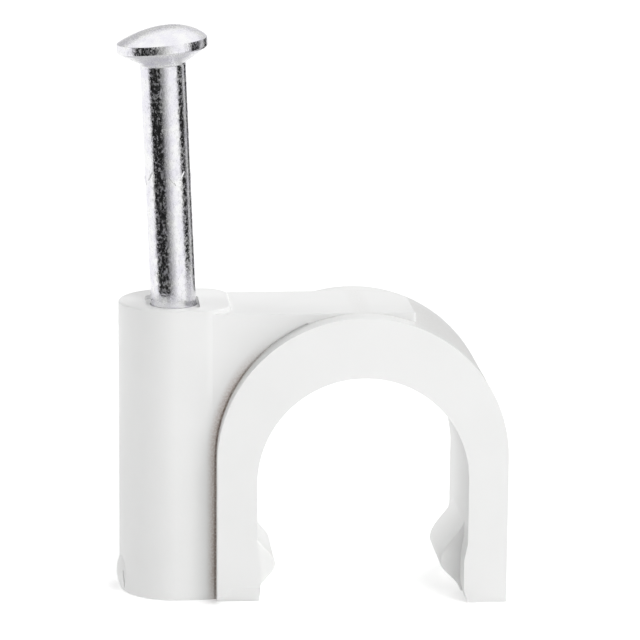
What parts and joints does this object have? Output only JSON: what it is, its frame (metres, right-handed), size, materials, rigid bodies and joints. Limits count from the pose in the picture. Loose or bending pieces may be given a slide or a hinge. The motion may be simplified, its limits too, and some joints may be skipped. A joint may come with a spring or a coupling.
{
  "type": "nail in cable clip",
  "caption": "Moulded plastic arch that holds a round cable against a wall. A nail waits in the tall boss at its side and is hammered home beside the crown.",
  "frame": {"origin": "on the wall plane, under the middle of the clip's length and depth", "axes": "+Z points away from the wall, +Y runs along the cable, -X is the boss with the nail and +X the free leg"},
  "size_m": [0.0216, 0.0086, 0.0318],
  "materials": {
    "pale_grey_plastic": "satin moulded",
    "zinc_plated_steel": "bright zinc plated"
  },
  "bodies": {
    "root": {"clip_body": "pale_grey_plastic", "nail": "zinc_plated_steel"}
  },
  "joints": []
}
